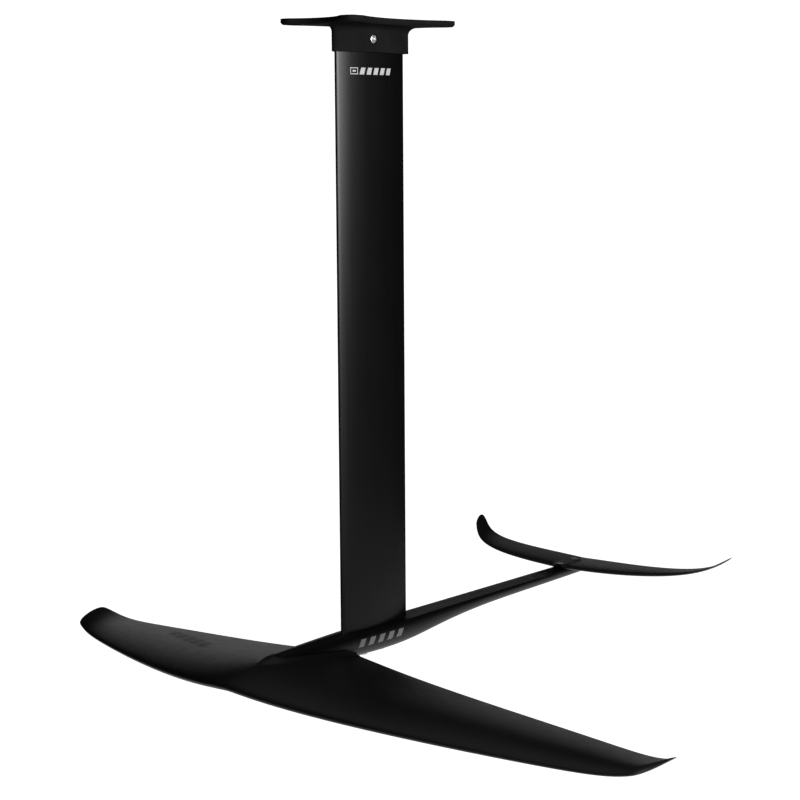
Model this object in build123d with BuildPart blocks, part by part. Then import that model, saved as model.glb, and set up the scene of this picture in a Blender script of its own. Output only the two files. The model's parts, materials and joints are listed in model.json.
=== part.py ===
from build123d import *
from math import cos, pi, radians, sin, sqrt, tan
import os

os.makedirs("parts", exist_ok=True)

# A hydrofoil that hangs under a board: mast plate, mast, fuselage, front wing and stabiliser.
# The origin is the centre of the mast plate's top face, where it meets the board.
# +X is port, +Y is aft and +Z is up, in millimetres.

# Mast plate and its collar
bolt_spacing_x = 90
bolt_spacing_y = 165
ear_radius = 13
plate_thickness = 7
plate_waist = 17
plate_chamfer = 2.4
slot_length = 14
slot_width = 8.5
slot_sink = 3.2
collar_bottom = -38
collar_wall = 4.8
collar_front = 3.2
collar_back = 6.5
collar_flare = 9

# Mast
mast_chord = 120
mast_thickness = 17
mast_wall = 2.2
mast_length = 747
mast_top = -6
mast_bottom = mast_top - mast_length
mast_edge = 1.6
web_thickness = 3
web_places = (-31.5, 29.5)
plug_length = 50
plug_insert_length = 16
plug_hole_depth = 34

# Fuselage
socket_depth = 14
body_top = mast_bottom + socket_depth
body_nose = -175
body_tail = 437
step_y = -47
slope_start = 70
tail_drop = 3
tongue_front_depth = 9
tongue_back_depth = 21.5

# Front wing, measured from the fuselage's top where a height is given
wing_half_span = 470
wing_nose = -255
wing_root_chord = 211
wing_tip_chord = 52
wing_sweep = 161
wing_height = -19
wing_droop = 48
wing_curl = 18
wing_incidence = 2
wing_camber = 0.03
wing_skin = 2.2
tip_rake = 0.92
seat_front = -220
seat_width = 37
seat_bottom_front = 27
seat_bottom_rear = 30.5
sleeve_radius = 6
flange_radius = 9
flange_top = 22
flange_bottom = 26.8

# Stabiliser
tail_half_span = 218.5
tail_nose = 387
tail_root_chord = 65
tail_tip_chord = 21
tail_sweep = 91
tail_height = 0.4
tail_lift = 8.5
tail_rake = 0.6
tail_curl = 18
tail_thickness = 0.105
tail_camber = -0.015
tail_incidence = -0.7
pad_front = 380
pad_back = 441
pad_top = 4.4
pad_bottom = -1.6
pad_width = 23

# Screws
big_screw = 8
small_screw = 5
plug_screw_places = (-22, 10)
wing_screw_places = (-155, -121, -87)
tail_hole_places = (324, 359, 394, 429)
tail_screw_places = tail_hole_places[2:]
side_screw_y = -6
side_screw_z = -22.5
side_screw_size = 6
side_recess = 10
insert_wall = 0.7
foot_seat = -24

upward = (Align.CENTER, Align.CENTER, Align.MIN)
downward = (Align.CENTER, Align.CENTER, Align.MAX)


def below_top(depth):
    """Height of a point this far below the fuselage's top plane."""
    return body_top - depth


def strut_side(sign, front, back, half, edge):
    """Points along one side of a mast section, from its nose to its trailing end."""
    nose = 50
    points = []
    for turn in (0.12, 0.3, 0.52, 0.76):
        angle = turn * pi / 2
        points.append((sign * half * sin(angle), front + nose * (1 - cos(angle))))
    for run in (0, 0.25, 0.5, 0.75, 1):
        bulge = edge + (half - edge) * (1 - run**2.4)
        points.append((sign * bulge, front + nose + (back - front - nose) * run))
    return points


def strut_outline(front, back, half, edge):
    """Closed mast section with a square trailing end."""
    starboard = strut_side(-1, front, back, half, edge)
    port = strut_side(1, front, back, half, edge)
    with BuildSketch() as outline:
        with BuildLine():
            skin = Spline(*starboard[::-1], (0, front), *port)
            Line(skin @ 1, skin @ 0)
        make_face()
    return outline.sketch


def mast_outline(gap=0):
    """The mast's outside, grown by a gap."""
    half_chord = mast_chord / 2 + gap
    return strut_outline(-half_chord, half_chord, mast_thickness / 2 + gap, mast_edge / 2 + gap)


def mast_bore(gap=0):
    """The hollow of the mast before its webs, shrunk by a gap."""
    inset = mast_wall + gap
    front = -mast_chord / 2 + inset + 1
    return strut_outline(front, mast_chord / 2 - 14 - gap, mast_thickness / 2 - inset, 0.6)


def foil_side(sign, chord, thickness, camber, edge):
    """Points of one side of a wing section along its chord, from nose to trailing edge."""
    points = []
    for step in range(9):
        run = (1 - cos(pi * step / 8)) / 2
        bulge = 5 * thickness * (0.2969 * sqrt(run) - 0.126 * run - 0.3516 * run**2)
        bulge += 5 * thickness * (0.2843 * run**3 - 0.1036 * run**4)
        if run < 0.4:
            bow = camber / 0.16 * (0.8 * run - run**2)
        else:
            bow = camber / 0.36 * (0.2 + 0.8 * run - run**2)
        points.append((run * chord, (bow + sign * bulge) * chord + sign * edge / 2 * run))
    return points


def foil_section(x, nose, height, chord, thickness, camber, incidence, edge):
    """Closed wing section in the plane at x, pitched nose up by the incidence."""
    drop = tan(radians(incidence))
    upper = foil_side(1, chord, thickness, camber, edge)
    lower = foil_side(-1, chord, thickness, camber, edge)
    around = upper[::-1] + lower[1:]
    with BuildSketch(Plane.YZ.offset(x)) as section:
        with BuildLine():
            skin = Spline(*[(nose + y, height + z - y * drop) for y, z in around])
            Line(skin @ 1, skin @ 0)
        make_face()
    return section.sketch


def rounding(share, start):
    """Share of the chord left where a wing tip is rounded off beyond the start."""
    if share < start:
        return 1
    return sqrt(1 - 0.96 * ((share - start) / (1 - start)) ** 2)


def front_wing_section(x, skin=0):
    """Section of the front wing at x, or of the hollow inside its skin."""
    share = abs(x) / wing_half_span
    full = wing_tip_chord + (wing_root_chord - wing_tip_chord) * (1 - share) ** 0.69
    chord = full * rounding(share, 0.955)
    nose = wing_nose + wing_sweep * share**1.21 + tip_rake * (full - chord)
    height = body_top + wing_height - wing_droop * share**0.83 + wing_curl * share**18
    thickness = 0.117 + 0.01 * share
    if skin:
        inner = chord * 0.8
        nose += 3 * skin
        height -= 3 * skin * tan(radians(wing_incidence)) - wing_camber * chord * 0.15
        thickness = (thickness * chord - 3 * skin) / inner
        chord = inner
    edge = 1.2 * chord / full
    return foil_section(x, nose, height, chord, thickness, wing_camber, wing_incidence, edge)


def stabiliser_section(x):
    """Section of the stabiliser at x."""
    share = abs(x) / tail_half_span
    full = tail_tip_chord + (tail_root_chord - tail_tip_chord) * (1 - share**2.27)
    chord = full * rounding(share, 0.95)
    nose = tail_nose + tail_sweep * share**3.16 + tail_rake * (full - chord)
    height = body_top + tail_height + tail_lift * share + tail_curl * share**12
    edge = 0.9 * chord / full
    return foil_section(x, nose, height, chord, tail_thickness, tail_camber, tail_incidence, edge)


def body_section(y, width, top_width, depth, gap):
    """Fuselage section at y: an open top, bulging sides and a round belly."""
    top = body_top + 2
    half = width / 2 + gap
    deep = depth + gap
    port = [
        (top_width / 2 + gap, top),
        (half, below_top(0.42 * deep)),
        (0.62 * half, below_top(0.87 * deep)),
    ]
    starboard = [(-x, z) for x, z in port[::-1]]
    with BuildSketch(Plane.XZ.offset(-y)) as section:
        with BuildLine():
            skin = Spline(*port, (0, below_top(deep)), *starboard)
            Line(skin @ 1, skin @ 0)
        make_face()
    return section.sketch


def tongue_floor(y):
    """Depth of the tongue's sloping floor below the fuselage's top."""
    run = (y - body_nose) / (step_y - body_nose)
    return tongue_front_depth + (tongue_back_depth - tongue_front_depth) * run


def top_drop(y):
    """How far the fuselage's top has sloped down at y."""
    return tail_drop * max(0, y - slope_start) / (body_tail - slope_start)


def fuselage_body(gap=0):
    """The fuselage before its holes, with the tongue that lies in the front wing's seat."""
    sections = [
        (body_nose - gap, 23, 17, 24),
        (-110, 28, 22, 25),
        (-45, 33, 27, 30.5),
        (10, 34, 28, 32.5),
        (50, 33, 27, 32),
        (90, 31.5, 25, 28.5),
        (135, 29.5, 23, 23.5),
        (190, 27.5, 21, 19.3),
        (260, 26, 18.5, 17.2),
        (340, 24.5, 16.5, 16.6),
        (body_tail, 23, 15.5, 15.6),
    ]
    ahead = body_nose - 5
    behind = body_tail + 5
    with BuildPart() as body:
        loft([body_section(*sizes, gap) for sizes in sections])
        with BuildSketch(Plane.YZ):
            with BuildLine():
                crown = Line((ahead, body_top + gap), (slope_start, body_top + gap))
                ramp = Line(crown @ 1, (behind, body_top + gap - top_drop(behind)))
                Polyline(ramp @ 1, (behind, body_top + 9), (ahead, body_top + 9), crown @ 0)
            make_face()
        extrude(amount=30, both=True, mode=Mode.SUBTRACT)
        with BuildSketch(Plane.YZ):
            with BuildLine():
                floor = Line(
                    (ahead, below_top(tongue_floor(ahead) + gap)),
                    (step_y - gap, below_top(tongue_floor(step_y) + gap)),
                )
                Polyline(floor @ 1, (step_y - gap, below_top(60)), (ahead, below_top(60)), floor @ 0)
            make_face()
        extrude(amount=30, both=True, mode=Mode.SUBTRACT)
    return body.part


def flat_screw(size, head, length):
    """Countersunk screw that points down from its head at z = 0, with a hex socket."""
    head_depth = (head - size) / 2 / tan(radians(41))
    with BuildPart() as screw:
        Cylinder(size / 2, length, align=downward)
        Cone(size / 2, head / 2, head_depth, align=downward)
        chamfer(screw.faces().sort_by(Axis.Z)[0].edges(), size * 0.08)
        with BuildSketch(Plane.XY):
            RegularPolygon(size * 0.36, 6)
        extrude(amount=-head_depth * 0.75, mode=Mode.SUBTRACT)
    return screw.part


def cap_screw(size, head, head_height, soft_edge, length):
    """Screw that points down from under its head at z = 0, with a hex socket on top."""
    with BuildPart() as screw:
        Cylinder(size / 2, length, align=downward)
        chamfer(screw.faces().sort_by(Axis.Z)[0].edges(), size * 0.08)
        Cylinder(head / 2, head_height, align=upward)
        fillet(screw.faces().sort_by(Axis.Z)[-1].edges(), soft_edge)
        with BuildSketch(Plane.XY.offset(head_height)):
            RegularPolygon(size * 0.4, 6)
        extrude(amount=-head_height * 0.6, mode=Mode.SUBTRACT)
    return screw.part


def thread_insert(size, length):
    """Thin threaded sleeve that stands on z = 0."""
    with BuildPart() as insert:
        Cylinder(size / 2 + insert_wall, length, align=upward)
        Cylinder(size / 2, length, align=upward, mode=Mode.SUBTRACT)
    return insert.part


def save(piece, label):
    """Name a finished piece and write it."""
    piece.label = label
    export_step(piece, f"parts/{label}.step")


# Mast plate: four ears joined by hollowed sides, and the collar that holds the mast's head
with BuildPart() as mast_plate:
    with BuildSketch() as plan:
        Rectangle(bolt_spacing_x + 2 * ear_radius, bolt_spacing_y + 2 * ear_radius)
        long_reach = bolt_spacing_y / 2 - 8
        long_radius = (long_reach**2 + plate_waist**2) / (2 * plate_waist)
        short_reach = bolt_spacing_x / 2 - 4
        short_radius = (short_reach**2 + plate_waist**2) / (2 * plate_waist)
        side_x = bolt_spacing_x / 2 + ear_radius - plate_waist + long_radius
        end_y = bolt_spacing_y / 2 + ear_radius - plate_waist + short_radius
        with Locations((-side_x, 0), (side_x, 0)):
            Circle(long_radius, mode=Mode.SUBTRACT)
        with Locations((0, -end_y), (0, end_y)):
            Circle(short_radius, mode=Mode.SUBTRACT)
        fillet(plan.vertices(), 9)
    extrude(amount=-plate_thickness)
    chamfer(faces().sort_by(Axis.Z)[0].edges(), plate_chamfer)
    with BuildSketch(Plane.XY.offset(collar_bottom)):
        front = -mast_chord / 2 - collar_front
        back = mast_chord / 2 + collar_back
        add(strut_outline(front, back, mast_thickness / 2 + collar_wall, 4))
    extrude(until=Until.NEXT)
    roots = mast_plate.edges().filter_by_position(Axis.Z, -plate_thickness - 0.01, -plate_thickness + 0.01)
    roots = roots.filter_by_position(Axis.Y, front - 1, back + 1)
    roots = roots.filter_by_position(Axis.X, -mast_thickness, mast_thickness)
    fillet(roots, collar_flare)
    with BuildSketch(Plane.XY.offset(collar_bottom)):
        add(mast_outline(0.1))
    extrude(amount=mast_top - collar_bottom, mode=Mode.SUBTRACT)
    with BuildSketch(Plane.XY.offset(-plate_thickness)):
        with GridLocations(bolt_spacing_x, bolt_spacing_y, 2, 2):
            SlotOverall(slot_length, slot_width)
    extrude(amount=plate_thickness, mode=Mode.SUBTRACT)
    with BuildSketch(Plane.XY.offset(-plate_thickness)):
        with GridLocations(bolt_spacing_x, bolt_spacing_y, 2, 2):
            SlotOverall(slot_length + 2 * slot_sink, slot_width + 2 * slot_sink)
    extrude(amount=slot_sink, taper=45, mode=Mode.SUBTRACT)
    with Locations(*[(0, y, 0) for y in plug_screw_places]):
        CounterSinkHole(big_screw / 2 + 0.2, 8, plate_thickness + 1)
    for sign in (-1, 1):
        with Locations(Location((sign * side_recess, side_screw_y, side_screw_z), (0, sign * 90, 0))):
            Cylinder(6, 20, align=upward, mode=Mode.SUBTRACT)
            Cylinder(side_screw_size / 2 + 0.2, 8, align=downward, mode=Mode.SUBTRACT)
save(mast_plate.part, "mast_plate")

# Mast: a hollow extrusion with two webs
with BuildPart() as mast:
    with BuildSketch(Plane.XY.offset(mast_bottom)):
        add(mast_outline())
    extrude(amount=mast_length)
    with BuildSketch(Plane.XY.offset(mast_bottom)):
        add(mast_bore())
        with Locations(*[(0, y) for y in web_places]):
            Rectangle(mast_thickness, web_thickness, mode=Mode.SUBTRACT)
    extrude(amount=mast_length, mode=Mode.SUBTRACT)
    with Locations(Location((0, side_screw_y, side_screw_z), (0, 90, 0))):
        Cylinder(side_screw_size / 2 + 0.2, mast_thickness + 4, mode=Mode.SUBTRACT)
save(mast.part, "mast")


def mast_plug(bottom, hole_mouth, hole_side):
    """Solid plug in the mast's middle chamber, bored for two screws from one end."""
    places = [(0, y) for y in plug_screw_places]
    middle = sum(web_places) / 2
    room = web_places[1] - web_places[0] - web_thickness - 0.2
    with BuildPart() as plug:
        with BuildSketch(Plane.XY.offset(bottom)):
            add(mast_bore(0.1))
            with Locations((0, middle)):
                Rectangle(mast_thickness, room, mode=Mode.INTERSECT)
        extrude(amount=plug_length)
        with BuildSketch(Plane.XY.offset(hole_mouth)):
            with Locations(*places):
                Circle(big_screw / 2 + insert_wall)
        extrude(amount=hole_side * plug_insert_length, mode=Mode.SUBTRACT)
        with BuildSketch(Plane.XY.offset(hole_mouth)):
            with Locations(*places):
                Circle(big_screw / 2)
        extrude(amount=hole_side * plug_hole_depth, mode=Mode.SUBTRACT)
    return plug.part


with BuildPart() as head_plug:
    add(mast_plug(mast_top - plug_length, mast_top, -1))
    with Locations(Location((0, side_screw_y, side_screw_z), (0, 90, 0))):
        Cylinder(side_screw_size / 2, mast_thickness, mode=Mode.SUBTRACT)
save(head_plug.part, "mast_head_insert")

with BuildPart() as foot_plug:
    add(mast_plug(mast_bottom, mast_bottom, 1))
save(foot_plug.part, "mast_foot_insert")

# Fuselage: the body, the mast's socket, and the holes for every screw
with BuildPart() as fuselage:
    add(fuselage_body())
    with BuildSketch(Plane.XY.offset(body_top + 5)):
        with Locations((0, body_tail)):
            Rectangle(40, 24)
        with Locations((0, body_tail - 12)):
            Circle(12, mode=Mode.SUBTRACT)
            Rectangle(40, 24, align=(Align.CENTER, Align.MAX), mode=Mode.SUBTRACT)
    extrude(amount=-40, mode=Mode.SUBTRACT)
    with BuildSketch(Plane.XY.offset(mast_bottom)):
        add(mast_outline(0.1))
    extrude(amount=socket_depth + 3, mode=Mode.SUBTRACT)
    with Locations(*[(0, y, body_top - 60) for y in plug_screw_places]):
        Cylinder(big_screw / 2 + 0.2, 50, align=upward, mode=Mode.SUBTRACT)
        Cylinder(big_screw, foot_seat + 60, align=upward, mode=Mode.SUBTRACT)
    with Locations(*[(0, y, body_top - 40) for y in wing_screw_places]):
        Cylinder(big_screw / 2 + insert_wall, 40 - 2.5, align=upward, mode=Mode.SUBTRACT)
    with Locations(*[(0, y, body_top - 12) for y in tail_hole_places]):
        Cylinder(small_screw / 2 + insert_wall, 20, align=upward, mode=Mode.SUBTRACT)
save(fuselage.part, "fuselage")

# Foam cores inside the front wing's skin, one each side
wing_inner = 34
wing_outer = 0.82 * wing_half_span
core_stations = [wing_inner + (wing_outer - wing_inner) * k / 6 for k in range(7)]
with BuildPart() as port_core:
    loft([front_wing_section(x, wing_skin) for x in core_stations])
with BuildPart() as cores:
    add(port_core.part)
    mirror(port_core.part, about=Plane.YZ)

# Space that the fuselage's tongue takes in the front wing's seat
tongue_space = fuselage_body(0.15)

# Seat: the raised block on the front wing's top that holds the tongue, with a nose fairing
seat_rear = step_y + 1
with BuildPart() as seat:
    with BuildSketch(Plane.XY.offset(below_top(seat_bottom_rear))):
        with BuildLine():
            rim = Spline(
                (0, seat_front),
                (seat_width * 0.27, seat_front + 21),
                (seat_width * 0.44, seat_front + 56),
                (seat_width / 2, seat_rear),
            )
            Line(rim @ 1, (0, seat_rear))
            mirror(about=Plane.YZ)
        make_face()
    extrude(amount=seat_bottom_rear)
    with BuildSketch(Plane.YZ):
        with BuildLine():
            Polyline(
                (seat_front, below_top(6.5)),
                (seat_front + 22, below_top(2.5)),
                (body_nose - 2, body_top),
                (body_nose + 4, body_top),
                (-66, below_top(14.3)),
                (seat_rear, below_top(25)),
                (seat_rear, below_top(seat_bottom_rear)),
                (-150, below_top(seat_bottom_front)),
                (seat_front, below_top(seat_bottom_front)),
                close=True,
            )
        make_face()
    extrude(amount=seat_width, both=True, mode=Mode.INTERSECT)

# Front wing: a curved shell joined to its seat, open for the tongue, the cores and the screws
wing_stations = [wing_half_span * sin(pi / 2 * k / 8) for k in range(-8, 9)]
with BuildPart() as front_wing:
    loft([front_wing_section(x) for x in wing_stations])
    add(seat.part)
    add(tongue_space, mode=Mode.SUBTRACT)
    add(cores.part, mode=Mode.SUBTRACT)
    with Locations(*[(0, y, body_top - 50) for y in wing_screw_places]):
        Cylinder(sleeve_radius, 50, align=upward, mode=Mode.SUBTRACT)
        Cylinder(flange_radius, 50 - flange_top, align=upward, mode=Mode.SUBTRACT)
save(front_wing.part, "front_wing")
save(cores.part, "front_wing_core")

# Stabiliser: a swept wing with turned-up tips and a raised pad under its screws
tail_stations = [tail_half_span * sin(pi / 2 * k / 7) for k in range(-7, 8)]
with BuildPart() as stabiliser:
    loft([stabiliser_section(x) for x in tail_stations])
    with BuildSketch(Plane.XY.offset(body_top + pad_bottom)):
        with BuildLine():
            edge = Spline(
                (0, pad_front),
                (pad_width * 0.36, pad_front + 5),
                (pad_width / 2, pad_front + 22),
                (pad_width * 0.46, pad_back - 12),
                (0, pad_back),
            )
            mirror(about=Plane.YZ)
        make_face()
    extrude(amount=pad_top - pad_bottom)
    with BuildSketch(Plane.XY.offset(body_top + pad_bottom)):
        with Locations((0, (pad_front + pad_back) / 2)):
            Rectangle(pad_width + 3, pad_back - pad_front + 20)
    extrude(amount=-10, mode=Mode.SUBTRACT)
    with Locations(*[(0, y, body_top + pad_top) for y in tail_screw_places]):
        CounterSinkHole(small_screw / 2 + 0.2, 4.9, 12)
save(stabiliser.part, "stabiliser")

# Shim: a thin wedge that levels the stabiliser on the sloping tail
shim_length = body_tail - pad_front - 4
with BuildPart() as shim:
    with BuildSketch(Plane.XY.offset(body_top + pad_bottom)):
        with Locations((0, pad_front + 4 + shim_length / 2)):
            SlotOverall(shim_length, 14, rotation=90)
        with Locations(*[(0, y) for y in tail_screw_places]):
            Circle(small_screw / 2 + 0.2, mode=Mode.SUBTRACT)
    extrude(amount=-4)
    with BuildSketch(Plane.YZ):
        with BuildLine():
            ramp = Line(
                (slope_start, body_top),
                (body_tail + 5, body_top - top_drop(body_tail + 5)),
            )
            Polyline(ramp @ 1, (body_tail + 5, body_top - 20), (slope_start, body_top - 20), ramp @ 0)
        make_face()
    extrude(amount=20, both=True, mode=Mode.SUBTRACT)
save(shim.part, "stabiliser_shim")


def group(piece, places, label):
    """Write copies of one piece, each at its own place, as one node."""
    with BuildPart() as pieces:
        with Locations(*places):
            add(piece)
    save(pieces.part, label)


# Screws and threaded inserts
flip = (180, 0, 0)
plug_insert = thread_insert(big_screw, plug_insert_length)
head_places = [Location((0, y, mast_top), flip) for y in plug_screw_places]
group(plug_insert, head_places, "head_thread_inserts")
foot_places = [Location((0, y, mast_bottom)) for y in plug_screw_places]
group(plug_insert, foot_places, "foot_thread_inserts")

plate_screw = flat_screw(big_screw, 15.4, 35)
group(plate_screw, [Location((0, y, -0.2)) for y in plug_screw_places], "plate_screws")

foot_screw = cap_screw(big_screw, 13, 8, 0.8, 40)
foot_places = [Location((0, y, body_top + foot_seat), flip) for y in plug_screw_places]
group(foot_screw, foot_places, "mast_foot_screws")

side_screw = cap_screw(side_screw_size, 10.6, 3.3, 1.4, 8.8)
side_places = [
    Location((sign * side_recess, side_screw_y, side_screw_z), (0, sign * 90, 0)) for sign in (-1, 1)
]
group(side_screw, side_places, "collar_side_screws")

with BuildPart() as sleeves:
    for y in wing_screw_places:
        top = below_top(tongue_floor(y) + 0.9)
        with Locations((0, y, below_top(flange_bottom))):
            Cylinder(flange_radius, flange_bottom - flange_top, align=upward)
            Cylinder(sleeve_radius, top - below_top(flange_bottom), align=upward)
            Cylinder(big_screw / 2 + 0.2, 20, align=upward, mode=Mode.SUBTRACT)
        with Locations(Location((0, y, below_top(flange_bottom)), flip)):
            CounterSinkHole(big_screw / 2 + 0.2, 7.9, 20)
save(sleeves.part, "front_wing_sleeves")

wing_screw = flat_screw(big_screw, 15.2, 22)
wing_screw_spots = [Location((0, y, below_top(flange_bottom - 0.2)), flip) for y in wing_screw_places]
group(wing_screw, wing_screw_spots, "front_wing_screws")
nose_insert = thread_insert(big_screw, 6.8)
nose_spots = [Location((0, y, below_top(tongue_floor(y) - 0.6))) for y in wing_screw_places]
group(nose_insert, nose_spots, "nose_thread_inserts")

tail_insert = thread_insert(small_screw, 8)
tail_spots = [Location((0, y, below_top(top_drop(y) + 8.4))) for y in tail_hole_places]
group(tail_insert, tail_spots, "tail_thread_inserts")
tail_screw = flat_screw(small_screw, 9.4, 14)
tail_screw_spots = [Location((0, y, body_top + pad_top - 0.1)) for y in tail_screw_places]
group(tail_screw, tail_screw_spots, "stabiliser_screws")
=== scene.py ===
import json
from math import cos, pi, radians, sin, sqrt, tan

import bmesh
import bpy
from mathutils import Matrix, Vector


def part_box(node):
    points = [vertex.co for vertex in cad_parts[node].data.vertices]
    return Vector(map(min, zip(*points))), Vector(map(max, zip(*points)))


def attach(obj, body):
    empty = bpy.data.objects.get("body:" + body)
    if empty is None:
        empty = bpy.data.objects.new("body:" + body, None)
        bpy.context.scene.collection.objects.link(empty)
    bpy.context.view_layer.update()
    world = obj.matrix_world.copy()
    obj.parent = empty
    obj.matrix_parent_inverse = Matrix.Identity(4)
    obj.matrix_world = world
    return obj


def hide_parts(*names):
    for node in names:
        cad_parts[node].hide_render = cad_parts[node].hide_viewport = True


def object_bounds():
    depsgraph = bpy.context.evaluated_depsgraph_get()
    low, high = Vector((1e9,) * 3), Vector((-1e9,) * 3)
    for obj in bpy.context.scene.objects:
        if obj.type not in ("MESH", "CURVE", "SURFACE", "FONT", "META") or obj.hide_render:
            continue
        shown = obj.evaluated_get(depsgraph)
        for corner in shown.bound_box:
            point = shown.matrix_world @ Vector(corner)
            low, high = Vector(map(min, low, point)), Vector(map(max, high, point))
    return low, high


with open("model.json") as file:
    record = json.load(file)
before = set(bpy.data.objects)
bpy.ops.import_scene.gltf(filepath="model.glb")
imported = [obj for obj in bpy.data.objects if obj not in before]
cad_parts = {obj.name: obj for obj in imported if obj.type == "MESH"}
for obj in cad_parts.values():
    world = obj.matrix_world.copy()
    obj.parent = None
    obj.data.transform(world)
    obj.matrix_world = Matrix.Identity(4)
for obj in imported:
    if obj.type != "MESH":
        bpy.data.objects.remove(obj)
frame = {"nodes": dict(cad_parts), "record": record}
cad_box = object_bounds()
nodes = frame["nodes"]
scene = bpy.context.scene


# ---------------------------------------------------------------- materials

def new_material(name, base, roughness, metallic=0.0, specular=0.5):
    """A principled material and the handles that the makers below build on."""
    mat = bpy.data.materials.new(name)
    mat.use_nodes = True
    tree = mat.node_tree
    shader = tree.nodes["Principled BSDF"]
    shader.inputs["Base Color"].default_value = (*base, 1)
    shader.inputs["Roughness"].default_value = roughness
    shader.inputs["Metallic"].default_value = metallic
    shader.inputs["Specular IOR Level"].default_value = specular
    return mat, tree, shader


def grey(value):
    return (value, value, value)


def add_node(tree, kind, **inputs):
    """A shader node with some of its inputs set."""
    node = tree.nodes.new(kind)
    for key, value in inputs.items():
        node.inputs[key.replace("_", " ")].default_value = value
    return node


def noise(tree, scale, detail=4.0, roughness=0.5, stretch=(1, 1, 1)):
    """Noise over object space, drawn out along an axis by the stretch."""
    coords = tree.nodes.new("ShaderNodeTexCoord")
    mapping = add_node(tree, "ShaderNodeMapping", Scale=stretch)
    grain = add_node(tree, "ShaderNodeTexNoise", Scale=scale, Detail=detail, Roughness=roughness)
    tree.links.new(coords.outputs["Object"], mapping.inputs["Vector"])
    tree.links.new(mapping.outputs["Vector"], grain.inputs["Vector"])
    return grain.outputs["Fac"]


def spread(tree, value, low, high, start=0.3, end=0.7):
    """Maps a noise value onto a range."""
    ranger = tree.nodes.new("ShaderNodeMapRange")
    for key, number in (("From Min", start), ("From Max", end), ("To Min", low), ("To Max", high)):
        ranger.inputs[key].default_value = number
    tree.links.new(value, ranger.inputs["Value"])
    return ranger.outputs["Result"]


def tint(tree, value, dark, light):
    """Colours between two tones, chosen by a noise value."""
    ramp = tree.nodes.new("ShaderNodeValToRGB")
    ramp.color_ramp.elements[0].position = 0.3
    ramp.color_ramp.elements[0].color = (*dark, 1)
    ramp.color_ramp.elements[1].position = 0.72
    ramp.color_ramp.elements[1].color = (*light, 1)
    tree.links.new(value, ramp.inputs["Fac"])
    return ramp.outputs["Color"]


def bump(tree, shader, value, strength, distance):
    """Fine relief of a given depth in metres."""
    relief = add_node(tree, "ShaderNodeBump", Strength=strength, Distance=distance)
    tree.links.new(value, relief.inputs["Height"])
    tree.links.new(relief.outputs["Normal"], shader.inputs["Normal"])


def anodised(name, dark, light, rough_low, rough_high, stretch, specular):
    """Black anodised aluminium with fine lines drawn along one direction."""
    mat, tree, shader = new_material(name, dark, rough_low, specular=specular)
    lines = noise(tree, 60, detail=5, roughness=0.6, stretch=stretch)
    blotch = noise(tree, 14, detail=3)
    tree.links.new(tint(tree, blotch, dark, light), shader.inputs["Base Color"])
    tree.links.new(spread(tree, lines, rough_low, rough_high), shader.inputs["Roughness"])
    bump(tree, shader, lines, strength=0.08, distance=0.0002)
    return mat


def cast_metal(name):
    """Matt black casting with a fine pebbled skin."""
    mat, tree, shader = new_material(name, grey(0.003), 0.85, specular=0.03)
    pebble = noise(tree, 900, detail=3, roughness=0.6)
    patch = noise(tree, 30)
    tree.links.new(tint(tree, patch, grey(0.0022), grey(0.004)), shader.inputs["Base Color"])
    tree.links.new(spread(tree, patch, 0.8, 0.95), shader.inputs["Roughness"])
    bump(tree, shader, pebble, strength=0.25, distance=0.0003)
    return mat


def moulded_carbon(name, dark, light, rough_low, rough_high):
    """Matt black moulded carbon: faint drawn-out fibres under a fine sanded grain."""
    mat, tree, shader = new_material(name, dark, rough_low, specular=0.3)
    fibre = noise(tree, 40, detail=6, roughness=0.65, stretch=(1, 9, 9))
    grain = noise(tree, 1400, detail=2)
    mottle = noise(tree, 9)
    tree.links.new(tint(tree, mottle, dark, light), shader.inputs["Base Color"])
    tree.links.new(spread(tree, fibre, rough_low, rough_high), shader.inputs["Roughness"])
    bump(tree, shader, grain, strength=0.12, distance=0.0001)
    return mat


def steel(name, base, rough_low, rough_high):
    """Machined or brushed bare metal."""
    mat, tree, shader = new_material(name, base, rough_low, metallic=1.0)
    swirl = noise(tree, 700, roughness=0.6, stretch=(1, 1, 0.15))
    tree.links.new(spread(tree, swirl, rough_low, rough_high), shader.inputs["Roughness"])
    bump(tree, shader, swirl, strength=0.1, distance=0.0001)
    return mat


def foam(name):
    """Rigid foam with small cells."""
    mat, tree, shader = new_material(name, (0.8, 0.74, 0.55), 0.9)
    cells = noise(tree, 500, detail=3)
    colour = tint(tree, cells, (0.7, 0.63, 0.45), (0.85, 0.8, 0.62))
    tree.links.new(colour, shader.inputs["Base Color"])
    bump(tree, shader, cells, strength=0.4, distance=0.0004)
    return mat


def printed(name, dark, light):
    """Flat ink with a slightly worn cover."""
    mat, tree, shader = new_material(name, dark, 0.6, specular=0.2)
    wear = noise(tree, 260)
    tree.links.new(tint(tree, wear, dark, light), shader.inputs["Base Color"])
    tree.links.new(spread(tree, wear, 0.5, 0.7), shader.inputs["Roughness"])
    return mat


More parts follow.
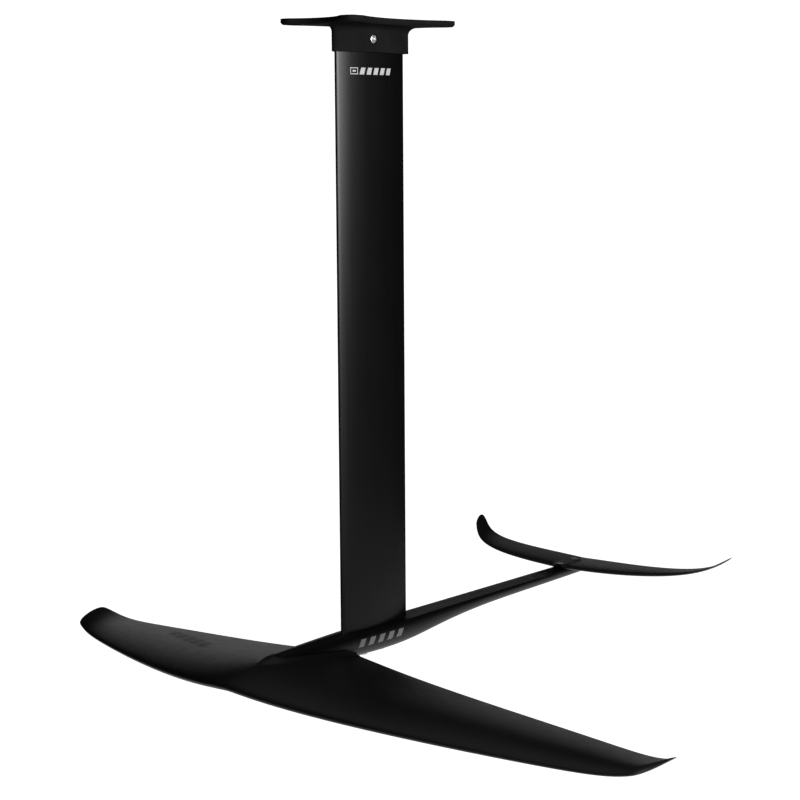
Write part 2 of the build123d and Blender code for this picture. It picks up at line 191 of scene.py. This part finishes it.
materials = {
    "cast_black": cast_metal("cast_black"),
    "anodised_black": anodised(
        "anodised_black", grey(0.0002), grey(0.0005), 0.34, 0.39, (6, 6, 0.05), 0.15
    ),
    "fuselage_black": anodised(
        "fuselage_black", grey(0.001), grey(0.002), 0.36, 0.48, (6, 0.05, 6), 0.16
    ),
    "carbon_black": moulded_carbon(
        "carbon_black", (0.0015, 0.0014, 0.0013), (0.003, 0.0028, 0.0026), 0.42, 0.54
    ),
    "tail_black": moulded_carbon("tail_black", grey(0.002), grey(0.004), 0.42, 0.54),
    "stainless": steel("stainless", (0.62, 0.61, 0.6), 0.22, 0.38),
    "raw_aluminium": steel("raw_aluminium", (0.7, 0.71, 0.72), 0.3, 0.45),
    "foam": foam("foam"),
    "shim_plastic": cast_metal("shim_plastic"),
    "print_grey": printed("print_grey", grey(0.15), grey(0.2)),
    "print_dim": printed("print_dim", grey(0.03), grey(0.045)),
}
slots = {part["node"]: part["material_slot"] for part in frame["record"]["subparts"]}
for name, node in nodes.items():
    finish = materials[slots[name]]
    if not node.data.materials:
        node.data.materials.append(finish)
    for index in range(len(node.material_slots)):
        node.material_slots[index].material = finish


# ---------------------------------------------------------------- smooth pieces

def show(name, shape, slot_name, sharp=35, stands_for=None):
    """Turns a bmesh into a piece of the object with its finish."""
    bmesh.ops.recalc_face_normals(shape, faces=shape.faces)
    mesh = bpy.data.meshes.new(name)
    shape.to_mesh(mesh)
    shape.free()
    mesh.shade_smooth()
    mesh.set_sharp_from_angle(angle=radians(sharp))
    mesh.materials.append(materials[slot_name])
    piece = bpy.data.objects.new(name, mesh)
    scene.collection.objects.link(piece)
    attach(piece, "root")
    if stands_for:
        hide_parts(stands_for)
    return piece


def skin_through(rings):
    """Closed skin through rings with the same number of points."""
    shape = bmesh.new()
    rows = [[shape.verts.new(point) for point in ring] for ring in rings]
    count = len(rows[0])
    for near, far in zip(rows, rows[1:]):
        for k in range(count):
            shape.faces.new((near[k], near[(k + 1) % count], far[(k + 1) % count], far[k]))
    shape.faces.new(rows[0][::-1])
    shape.faces.new(rows[-1])
    return shape


def between(places, values, at):
    """Straight-line interpolation with the ends held."""
    if at <= places[0]:
        return values[0]
    for k in range(1, len(places)):
        if at <= places[k]:
            share = (at - places[k - 1]) / (places[k] - places[k - 1])
            return values[k - 1] + (values[k] - values[k - 1]) * share
    return values[-1]


def smooth_step(value):
    """Eases from 0 to 1."""
    value = min(1, max(0, value))
    return value * value * (3 - 2 * value)


def soft_top(low, high, blend):
    """The higher of two heights, rounded where they meet."""
    share = min(1, max(0, 0.5 + (high - low) / (2 * blend)))
    return low + (high - low) * share + blend * share * (1 - share)


tip_fall = 0.985  # what the rounding takes off the squared chord at the very tip


def rounding(share, start):
    """Share of the chord left where a wing tip is rounded off."""
    if share < start:
        return 1
    return sqrt(1 - tip_fall * ((share - start) / (1 - start)) ** 2)


# Four-digit wing section: where its camber peaks, and the factors and powers of its thickness
bow_place = 0.4
bulge_terms = ((0.2969, 0.5), (-0.126, 1), (-0.3516, 2), (0.2843, 3), (-0.1036, 4))


def foil_ring(x, nose, height, chord, thickness, camber, incidence, edge, count, lift):
    """Points round a wing section of the four-digit kind; lift reshapes the upper side."""
    drop = tan(radians(incidence))
    ring = []
    for sign, steps in ((1, range(count, -1, -1)), (-1, range(1, count + 1))):
        for step in steps:
            run = (1 - cos(pi * step / count)) / 2
            bulge = 5 * thickness * sum(factor * run**power for factor, power in bulge_terms)
            if run < bow_place:
                bow = camber / bow_place**2 * (2 * bow_place * run - run**2)
            else:
                bow = camber / (1 - bow_place) ** 2
                bow *= 1 - 2 * bow_place + 2 * bow_place * run - run**2
            y = nose + run * chord
            z = height + (bow + sign * bulge) * chord + sign * edge / 2 * run - run * chord * drop
            ring.append((x, y, lift(x, y, z) if sign > 0 else z))
    return ring


wing_low, wing_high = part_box("front_wing")
tail_low, tail_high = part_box("stabiliser")
body_low, body_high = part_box("fuselage")
mast_low, mast_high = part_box("mast")
body_top = body_high.z
gap = 0.0002  # keeps touching surfaces apart

# Front wing, its seat and the nose fairing as one skin; heights are given from the fuselage's top
half_span = wing_high.x
wing_points = 110
root_blend = 0.09
wing_tip_chord, wing_chord_gain, wing_chord_power = 0.052, 0.159, 0.69
wing_sweep, wing_sweep_power, wing_rake = 0.161, 1.21, 0.92
wing_drop, wing_droop, wing_droop_power = 0.019, 0.048, 0.83
wing_upturn, wing_upturn_power = 0.018, 18
wing_round_from = 0.955
wing_thickness, wing_tip_thickening = 0.117, 0.01
wing_camber, wing_incidence, wing_edge = 0.03, 2, 0.0012

# The seat's prow, its rim along its length, and the channel that the fuselage lies in
seat_front, seat_rear = body_low.y - 0.047, -0.0465
seat_half, seat_narrowest = 0.0185, 0.002
prow_power, prow_fullness = 5, 0.72
prow_crown, prow_share, prow_fade = 0.0042, 0.26, 0.06
flank_reach, flank_width, flank_blend = 0.0022, 0.0034, 0.0006
rim_places = (seat_front, -0.2, -0.18, -0.174, -0.168, -0.066, seat_rear)
rim_heights = (-0.0085, -0.002, 0.0022, 0.0024, -0.0008, -0.0143, -0.025)
channel_places = (-0.175, -0.11, -0.04625)
channel_halves = (0.0086, 0.0128, 0.0160)
channel_ends = (-0.175, -0.047)
channel_depths = (0.009, 0.0215)
channel_inset = 0.0006


def seat_lift(x, y, z):
    """Raises the wing's top into the seat, with a channel where the fuselage lies."""
    if y < seat_front or y > seat_rear:
        return z
    run = (y - seat_front) / (seat_rear - seat_front)
    half = seat_half * (1 - (1 - run) ** prow_power) ** prow_fullness
    rim = body_top + between(rim_places, rim_heights, y)
    crown = prow_crown * (1 - smooth_step((run - prow_share) / prow_fade))
    top = rim - crown * (x / max(half, seat_narrowest)) ** 2
    flank = smooth_step((half + flank_reach - abs(x)) / flank_width)
    raised = z + (top - z) * flank
    height = z
    if raised > z:
        height = soft_top(z, raised, flank_blend * flank)
    channel_half = between(channel_places, channel_halves, y) - channel_inset
    if y > body_low.y + gap and abs(x) < channel_half:
        height = min(height, body_top - between(channel_ends, channel_depths, y))
    return height


def front_wing_ring(x):
    """The wing's section at a place along its span, with the root's crease smoothed away."""
    share = sqrt((x / half_span) ** 2 + root_blend**2) - root_blend * (1 - abs(x) / half_span)
    share = min(1, share / sqrt(1 + root_blend**2))
    full = wing_tip_chord + wing_chord_gain * (1 - share) ** wing_chord_power
    chord = full * rounding(share, wing_round_from)
    nose = wing_low.y + wing_sweep * share**wing_sweep_power + wing_rake * (full - chord)
    height = body_top - wing_drop - wing_droop * share**wing_droop_power
    height += wing_upturn * share**wing_upturn_power
    thickness = wing_thickness + wing_tip_thickening * share
    edge = wing_edge * chord / full
    return foil_ring(
        x, nose, height, chord, thickness, wing_camber, wing_incidence, edge, wing_points, seat_lift
    )


station_step = 0.0007  # spacing of the sections across a seat or pad


def stations(half, dense, coarse):
    """Places across a span: evenly dense near the middle, then closer again towards each tip."""
    middle = [station_step * k for k in range(round(dense / station_step) + 1)]
    rest = half - middle[-1]
    outer = [middle[-1] + rest * sin(pi / 2 * k / coarse) for k in range(1, coarse + 1)]
    port = middle + outer
    return [-x for x in port[:0:-1]] + port


wing_skin = skin_through([front_wing_ring(x) for x in stations(half_span, dense=0.026, coarse=46)])
wing_piece = show("front_wing_skin", wing_skin, "carbon_black", sharp=50, stands_for="front_wing")

# Bores under the wing for its three screws and their sleeves
sleeve_low, sleeve_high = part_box("front_wing_sleeves")
bore_radius = sleeve_high.x + 0.0001
bore_depth = 0.02
first_bore, last_bore = sleeve_low.y + bore_radius, sleeve_high.y - bore_radius
bores = bmesh.new()
for share in (0, 0.5, 1):
    bore = bmesh.ops.create_cone(
        bores, cap_ends=True, segments=48, radius1=bore_radius, radius2=bore_radius, depth=bore_depth
    )
    place = (0, first_bore + (last_bore - first_bore) * share, sleeve_low.z - bore_depth / 2 + gap)
    bmesh.ops.translate(bores, verts=bore["verts"], vec=place)
cutter_mesh = bpy.data.meshes.new("wing_bores")
bores.to_mesh(cutter_mesh)
bores.free()
cutter = bpy.data.objects.new("wing_bores", cutter_mesh)
scene.collection.objects.link(cutter)
cutter.hide_render = True
cutter.hide_viewport = True
cut = wing_piece.modifiers.new("bores", "BOOLEAN")
cut.object = cutter
cut.operation = "DIFFERENCE"
cut.solver = "FAST"

# Crown: the fuselage's rounded top ahead of and beside the mast, with its height and half width
crown_places = (-0.174, -0.15, -0.1, -0.06, -0.02, 0.02, 0.055)
crown_heights = (0.0024, 0.003, 0.0039, 0.0042, 0.0032, 0.0013, 0.0001)
width_places = (-0.175, -0.11, -0.045, 0.01, 0.055)
width_halves = (0.0085, 0.011, 0.0135, 0.014, 0.0134)
crown_power, crown_sink = 1.4, 0.0004
crown_rows, crown_steps = 60, 24
crown_rings = []
for k in range(crown_rows + 1):
    y = crown_places[0] + (crown_places[-1] - crown_places[0]) * k / crown_rows
    rise = between(crown_places, crown_heights, y)
    half = between(width_places, width_halves, y) - gap
    arch = []
    for j in range(crown_steps + 1):
        angle = pi * j / crown_steps
        arch.append((half * cos(angle), y, body_top + rise * sin(angle) ** crown_power))
    crown_rings.append(arch + [(0, y, body_top - crown_sink)])
show("fuselage_crown", skin_through(crown_rings), "fuselage_black", sharp=50)

# Stabiliser with its pad
tail_half = tail_high.x
tail_points = 60
tail_tip_chord, tail_chord_gain, tail_chord_power = 0.021, 0.044, 2.27
tail_nose, tail_sweep, tail_sweep_power, tail_rake = 0.007, 0.091, 3.16, 0.6
tail_lift, tail_dihedral = 0.0004, 0.0085
tail_upturn, tail_upturn_power = 0.019, 11
tail_round_from = 0.95
tail_thickness, tail_camber, tail_incidence, tail_edge = 0.105, -0.015, -0.7, 0.0009
pad_front, pad_back, pad_half, pad_top = 0.380, 0.441, 0.0115, 0.004
pad_squareness = 3
pad_reach, pad_flank = 0.0006, 0.0022


def pad_lift(x, y, z):
    """Raises the middle of the stabiliser into the pad under the screws."""
    run = (y - pad_front) / (pad_back - pad_front)
    if not 0 <= run <= 1:
        return z
    half = pad_half * sqrt(1 - abs(2 * run - 1) ** pad_squareness)
    flank = smooth_step((half + pad_reach - abs(x)) / pad_flank)
    return max(z, z + (body_top + pad_top - z) * flank)


def stabiliser_ring(x):
    """The stabiliser's section at a place along its span."""
    share = abs(x) / tail_half
    full = tail_tip_chord + tail_chord_gain * (1 - share**tail_chord_power)
    chord = full * rounding(share, tail_round_from)
    nose = tail_low.y + tail_nose + tail_sweep * share**tail_sweep_power + tail_rake * (full - chord)
    height = body_top + tail_lift + tail_dihedral * share + tail_upturn * share**tail_upturn_power
    edge = tail_edge * chord / full
    return foil_ring(
        x, nose, height, chord, tail_thickness, tail_camber, tail_incidence, edge, tail_points, pad_lift
    )


tail_skin = skin_through([stabiliser_ring(x) for x in stations(tail_half, dense=0.014, coarse=40)])
show("stabiliser_skin", tail_skin, "tail_black", sharp=50, stands_for="stabiliser")

# Mast: a fine skin of the extrusion, an ellipse ahead of the thickest place and a fade behind it
mast_nose, mast_edge, mast_fade = 0.05, 0.0008, 2.4
nose_steps, nose_crowding, nose_stop = 24, 1.3, 0.999
side_steps, mast_rows = 30, 24
edge_round, edge_narrowing = 0.00015, 0.6


def mast_ring(z):
    """The extrusion's outline at a height."""
    front, back = mast_low.y, mast_high.y
    half = mast_high.x
    port = []
    for step in range(1, nose_steps + 1):
        angle = pi / 2 * (step / nose_steps) ** nose_crowding * nose_stop
        port.append((half * sin(angle), front + mast_nose * (1 - cos(angle))))
    for step in range(1, side_steps + 1):
        run = step / side_steps
        width = mast_edge + (half - mast_edge) * (1 - run**mast_fade)
        port.append((width, front + mast_nose + (back - front - mast_nose) * run))
    port.append((mast_edge * edge_narrowing, back + edge_round))
    outline = [(-x, y) for x, y in port[::-1]] + [(0, front)] + port
    return [(x, y, z) for x, y in outline]


mast_length = mast_high.z - mast_low.z
mast_levels = [mast_low.z + mast_length * k / mast_rows for k in range(mast_rows + 1)]
mast_skin = skin_through([mast_ring(z) for z in mast_levels])
show("mast_skin", mast_skin, "anodised_black", sharp=50, stands_for="mast")


# ---------------------------------------------------------------- printed marks

pane_cells = 10  # cells across each pane, so that it follows a curved surface
print_height = 0.00015


def pressed_on(name, panes, target, slot_name, toward):
    """Thin print made of four-cornered panes that lies on the target's surface."""
    shape = bmesh.new()
    for corners in panes:
        a, b, c, d = [Vector(corner) for corner in corners]
        rows = []
        for i in range(pane_cells + 1):
            low, high = a.lerp(b, i / pane_cells), d.lerp(c, i / pane_cells)
            places = [low.lerp(high, j / pane_cells) for j in range(pane_cells + 1)]
            rows.append([shape.verts.new(place) for place in places])
        for near, far in zip(rows, rows[1:]):
            for j in range(pane_cells):
                shape.faces.new((near[j], far[j], far[j + 1], near[j + 1]))
    piece = show(name, shape, slot_name)
    wrap = piece.modifiers.new("wrap", "SHRINKWRAP")
    wrap.target = target
    wrap.wrap_method = "PROJECT"
    wrap.use_negative_direction = wrap.use_positive_direction = True
    wrap.use_project_x, wrap.use_project_z = toward == "x", toward == "z"
    wrap.wrap_mode = "ABOVE_SURFACE"
    wrap.offset = print_height


def side_bars(x, start, pitch, width, low, high, lean, count):
    """Leaning bars in a row along Y, on the port side."""
    bars = []
    for k in range(count):
        y = start + pitch * k
        bars.append(((x, y, low), (x, y + width, low), (x, y + width + lean, high), (x, y + lean, high)))
    return bars


def frame_panes(x, start, end, low, high, line):
    """The four sides of a drawn box on the port side."""
    return [
        ((x, start, low), (x, end, low), (x, end, low + line), (x, start, low + line)),
        ((x, start, high - line), (x, end, high - line), (x, end, high), (x, start, high)),
        ((x, start, low), (x, start + line, low), (x, start + line, high), (x, start, high)),
        ((x, end - line, low), (x, end, low), (x, end, high), (x, end - line, high)),
    ]


# Mast: a small drawn box with a bar in it, then a row of leaning bars
beside_mast = mast_high.x + 0.004
mark_low, mark_high = mast_high.z - 0.058, mast_high.z - 0.050
dot_inset = 0.003
mark_panes = frame_panes(beside_mast, -0.041, -0.029, mark_low, mark_high, 0.001)
mark_panes += side_bars(
    beside_mast, -0.0375, 0, 0.005, mark_low + dot_inset, mark_high - dot_inset, 0, 1
)
mark_panes += side_bars(beside_mast, -0.0265, 0.0118, 0.0075, mark_low, mark_high, 0.0028, 5)
pressed_on("mast_mark", mark_panes, scene.objects["mast_skin"], "print_grey", "x")

# Fuselage: a row of leaning bars that sinks a little towards the tail
beside_body = 0.03
body_mark_start, body_mark_pitch, body_mark_width, body_mark_lean = -0.047, 0.0175, 0.0095, 0.005
body_mark_drop, body_mark_sink, body_mark_height = 0.0160, 0.0004, 0.0095
body_panes = []
for k in range(5):
    start = body_mark_start + body_mark_pitch * k
    low = body_top - body_mark_drop - body_mark_sink * k
    high = low + body_mark_height
    body_panes += side_bars(beside_body, start, 0, body_mark_width, low, high, body_mark_lean, 1)
pressed_on("fuselage_mark", body_panes, nodes["fuselage"], "print_grey", "x")

# Starboard wing: a row of dim bars along the span
above_wing = -0.7
wing_mark_start, wing_mark_pitch = (-0.155, -0.128), (-0.026, 0.011)
wing_mark_corners = ((0, 0), (-0.017, 0.006), (-0.010, -0.022), (0.007, -0.028))
wing_panes = []
for k in range(5):
    x = wing_mark_start[0] + wing_mark_pitch[0] * k
    y = wing_mark_start[1] + wing_mark_pitch[1] * k
    wing_panes.append([(x + across, y + along, above_wing) for across, along in wing_mark_corners])
pressed_on("wing_mark", wing_panes, scene.objects["front_wing_skin"], "print_dim", "z")


# ---------------------------------------------------------------- floor, light and camera

def plain_material(name, colour, roughness, glow):
    """Pale matt surface with a glow of its own, so that it reads as white paper."""
    mat, tree, shader = new_material(name, colour, roughness, specular=0.2)
    soft = noise(tree, 3, detail=2)
    tree.links.new(spread(tree, soft, roughness, roughness + 0.1), shader.inputs["Roughness"])
    shader.inputs["Emission Color"].default_value = (1, 1, 1, 1)
    shader.inputs["Emission Strength"].default_value = glow
    return mat


floor_drop, floor_radius = 0.35, 1.5
middle_y = 0.1
lowest = cad_box[0][2]
bpy.ops.mesh.primitive_circle_add(
    vertices=96, radius=floor_radius, fill_type="NGON", location=(0, middle_y, lowest - floor_drop)
)
floor = bpy.context.object
floor.name = "floor"
floor.data.materials.append(plain_material("floor_white", grey(0.9), 0.7, 0.95))

middle = Vector((0, middle_y, lowest / 2))


def softbox(name, direction, distance, size, power):
    """Rectangular area light that faces the object's middle."""
    light = bpy.data.lights.new(name, "AREA")
    light.shape = "RECTANGLE"
    light.size, light.size_y = size
    light.energy = power
    lamp = bpy.data.objects.new(name, light)
    scene.collection.objects.link(lamp)
    lamp.location = middle + Vector(direction).normalized() * distance
    lamp.rotation_euler = (middle - lamp.location).to_track_quat("-Z", "Y").to_euler()
    lamp.visible_camera = False
    return lamp


ahead_to_port = (0.93, -0.34, 0.26)
softbox("overhead", (0, 0, 1), 2.6, (3.6, 3.6), 18)
softbox("port_fill", ahead_to_port, 1.8, (0.5, 0.5), 14)

# Two lamps light only the mast and its plate
upright = bpy.data.collections.new("upright")
for name in ("mast_skin", "mast_mark", "mast_plate", "collar_side_screws"):
    upright.objects.link(scene.objects[name])
for lamp in (
    softbox("port_side", ahead_to_port, 1.8, (0.5, 0.5), 62),
    softbox("port_rear", (0.97, 0.12, 0.26), 1.8, (0.8, 0.5), 26),
):
    lamp.light_linking.receiver_collection = upright
softbox("behind", (-0.66, 0.75, -0.05), 3.4, (3.6, 0.6), 8)

# White all round for the camera, and almost no light from it
white_strength, ambient_strength = 1.15, 0.01
world = bpy.data.worlds.new("studio")
scene.world = world
world.use_nodes = True
tree = world.node_tree
background = tree.nodes["Background"]
output = tree.nodes["World Output"]
white = add_node(tree, "ShaderNodeBackground", Color=(1, 1, 1, 1), Strength=white_strength)
path = tree.nodes.new("ShaderNodeLightPath")
mixer = tree.nodes.new("ShaderNodeMixShader")
background.inputs["Color"].default_value = (1, 1, 1, 1)
background.inputs["Strength"].default_value = ambient_strength
tree.links.new(path.outputs["Is Camera Ray"], mixer.inputs[0])
tree.links.new(background.outputs[0], mixer.inputs[1])
tree.links.new(white.outputs[0], mixer.inputs[2])
tree.links.new(mixer.outputs[0], output.inputs["Surface"])

# Camera fitted to the mast's edges and the wings' outlines
camera_place = (1.4393, -1.601, -0.1291)
focal_length, sensor_width = 80.11, 36
azimuth, pitch, roll = radians(41.05), radians(-8.62), radians(-0.345)
forward = Vector((-sin(azimuth) * cos(pitch), cos(azimuth) * cos(pitch), sin(pitch)))
level = Vector((cos(azimuth), sin(azimuth), 0))
upward = level.cross(forward)
right = level * cos(roll) + upward * sin(roll)
upward = upward * cos(roll) - level * sin(roll)
lens = bpy.data.cameras.new("camera")
lens.lens = focal_length
lens.sensor_width = sensor_width
lens.clip_end = 50
camera = bpy.data.objects.new("camera", lens)
scene.collection.objects.link(camera)
turn = Matrix((right, upward, -forward)).transposed().to_4x4()
camera.matrix_world = Matrix.Translation(camera_place) @ turn
scene.camera = camera
scene.view_settings.view_transform = "Standard"
scene.view_settings.look = "None"
